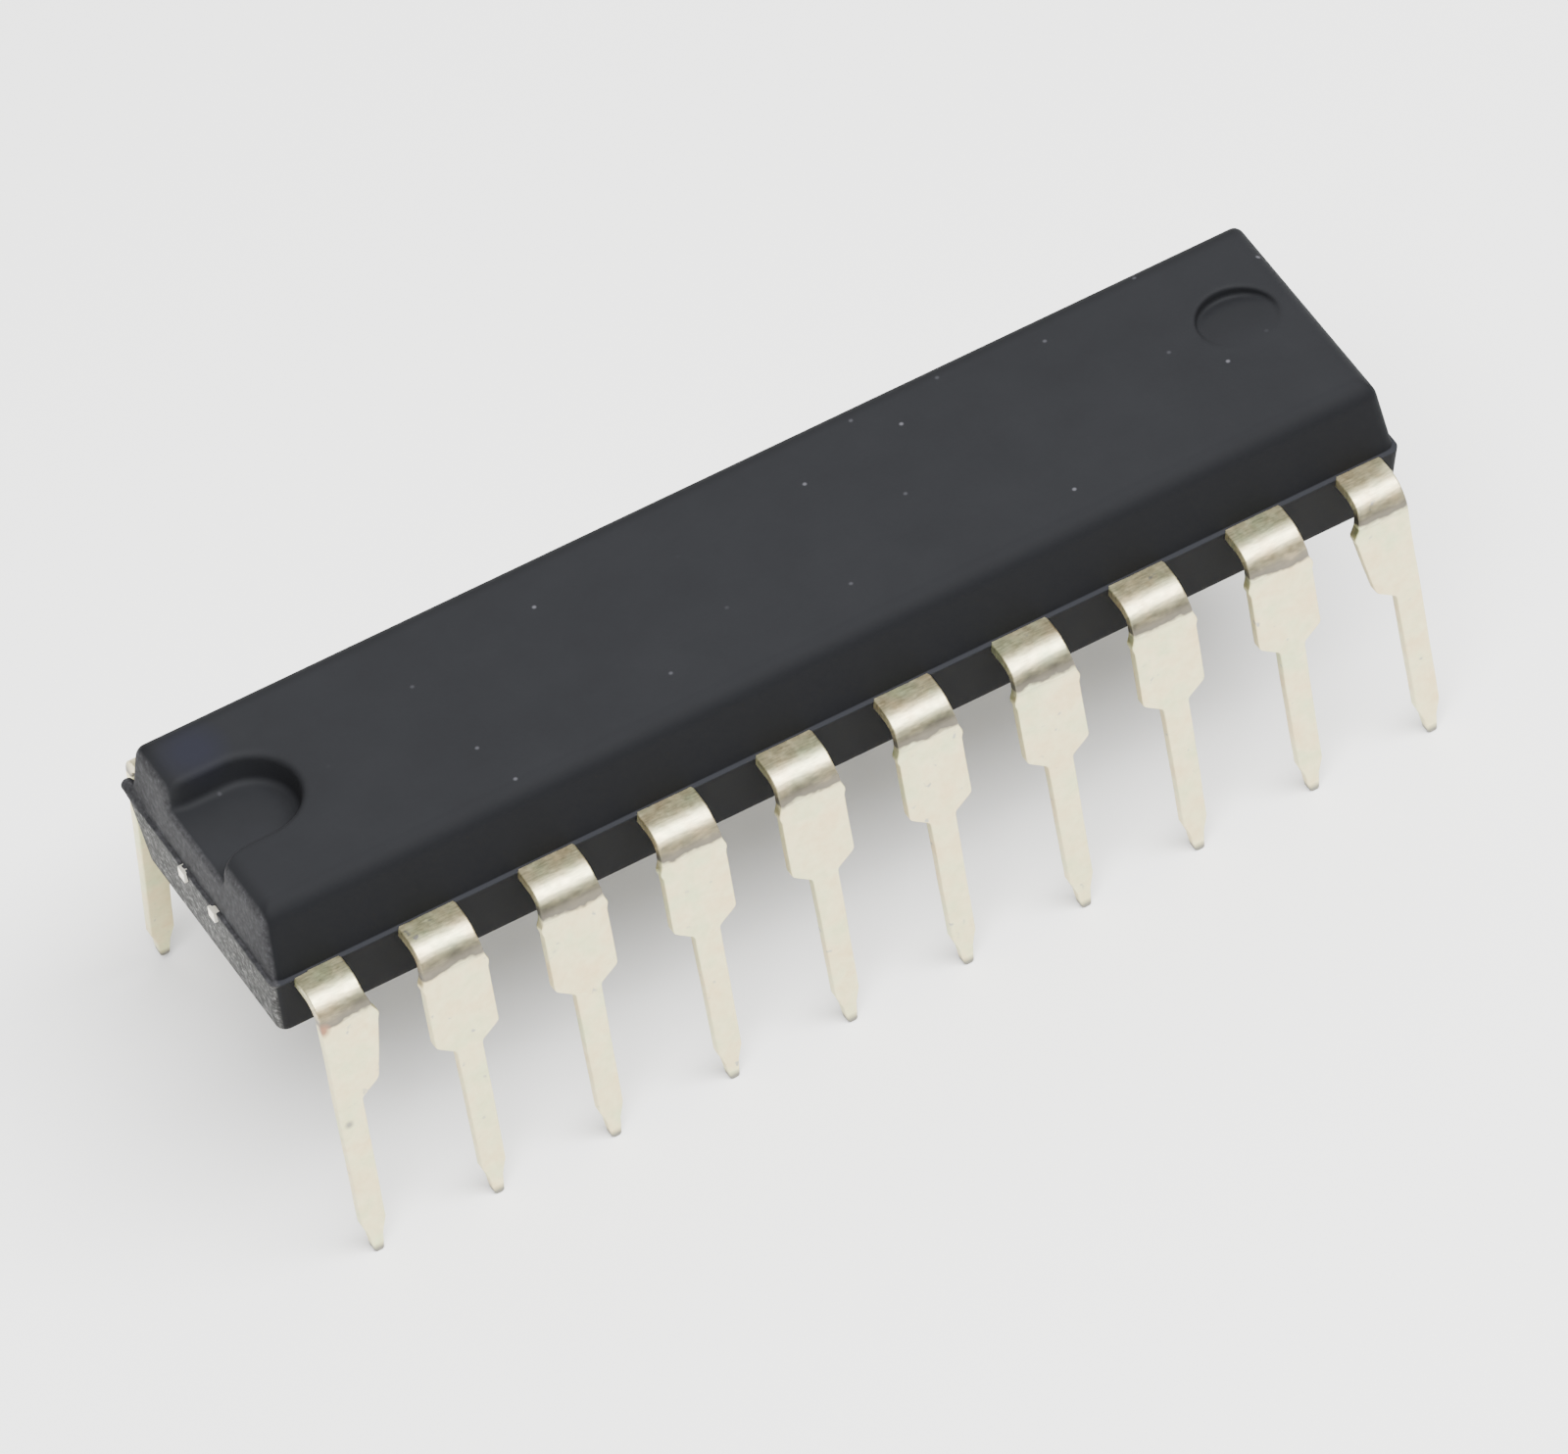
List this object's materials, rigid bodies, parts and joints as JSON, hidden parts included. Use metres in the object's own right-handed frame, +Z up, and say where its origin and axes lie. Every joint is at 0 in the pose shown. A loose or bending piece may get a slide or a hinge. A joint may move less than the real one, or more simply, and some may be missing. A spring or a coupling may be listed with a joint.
{
  "type": "dip integrated circuit chip",
  "caption": "Dual in-line chip: black moulded body with an end notch, on two rows of bent, pointed flat leads.",
  "frame": {"origin": "middle of the plane of the lead tips, straight below the middle of the body, where the part stands", "axes": "+X along the body, away from the notched end; +Y across the rows, leads 1 to 10 on the -Y side; +Z up, from the lead tips to the top face"},
  "size_m": [0.0244, 0.0088, 0.0081],
  "materials": {
    "moulding": "matt black filled epoxy moulding compound",
    "tin_plate": "matt tin plate on stamped copper alloy strip",
    "frame_metal": "stamped copper alloy strip, silver spot plated",
    "die_bond": "silver-filled epoxy",
    "silicon": "polished silicon",
    "gold_wire": "drawn gold wire"
  },
  "bodies": {
    "root": {"body": "moulding", "lead_1": "tin_plate", "lead_2": "tin_plate", "lead_3": "tin_plate", "lead_4": "tin_plate", "lead_5": "tin_plate", "lead_6": "tin_plate", "lead_7": "tin_plate", "lead_8": "tin_plate", "lead_9": "tin_plate", "lead_10": "tin_plate", "lead_11": "tin_plate", "lead_12": "tin_plate", "lead_13": "tin_plate", "lead_14": "tin_plate", "lead_15": "tin_plate", "lead_16": "tin_plate", "lead_17": "tin_plate", "lead_18": "tin_plate", "lead_19": "tin_plate", "lead_20": "tin_plate", "die_paddle": "frame_metal", "die_attach": "die_bond", "die": "silicon", "bond_wire_1": "gold_wire", "bond_wire_2": "gold_wire", "bond_wire_3": "gold_wire", "bond_wire_4": "gold_wire", "bond_wire_5": "gold_wire", "bond_wire_6": "gold_wire", "bond_wire_7": "gold_wire", "bond_wire_8": "gold_wire", "bond_wire_9": "gold_wire", "bond_wire_10": "gold_wire", "bond_wire_11": "gold_wire", "bond_wire_12": "gold_wire", "bond_wire_13": "gold_wire", "bond_wire_14": "gold_wire", "bond_wire_15": "gold_wire", "bond_wire_16": "gold_wire", "bond_wire_17": "gold_wire", "bond_wire_18": "gold_wire", "bond_wire_19": "gold_wire", "bond_wire_20": "gold_wire"}
  },
  "joints": []
}
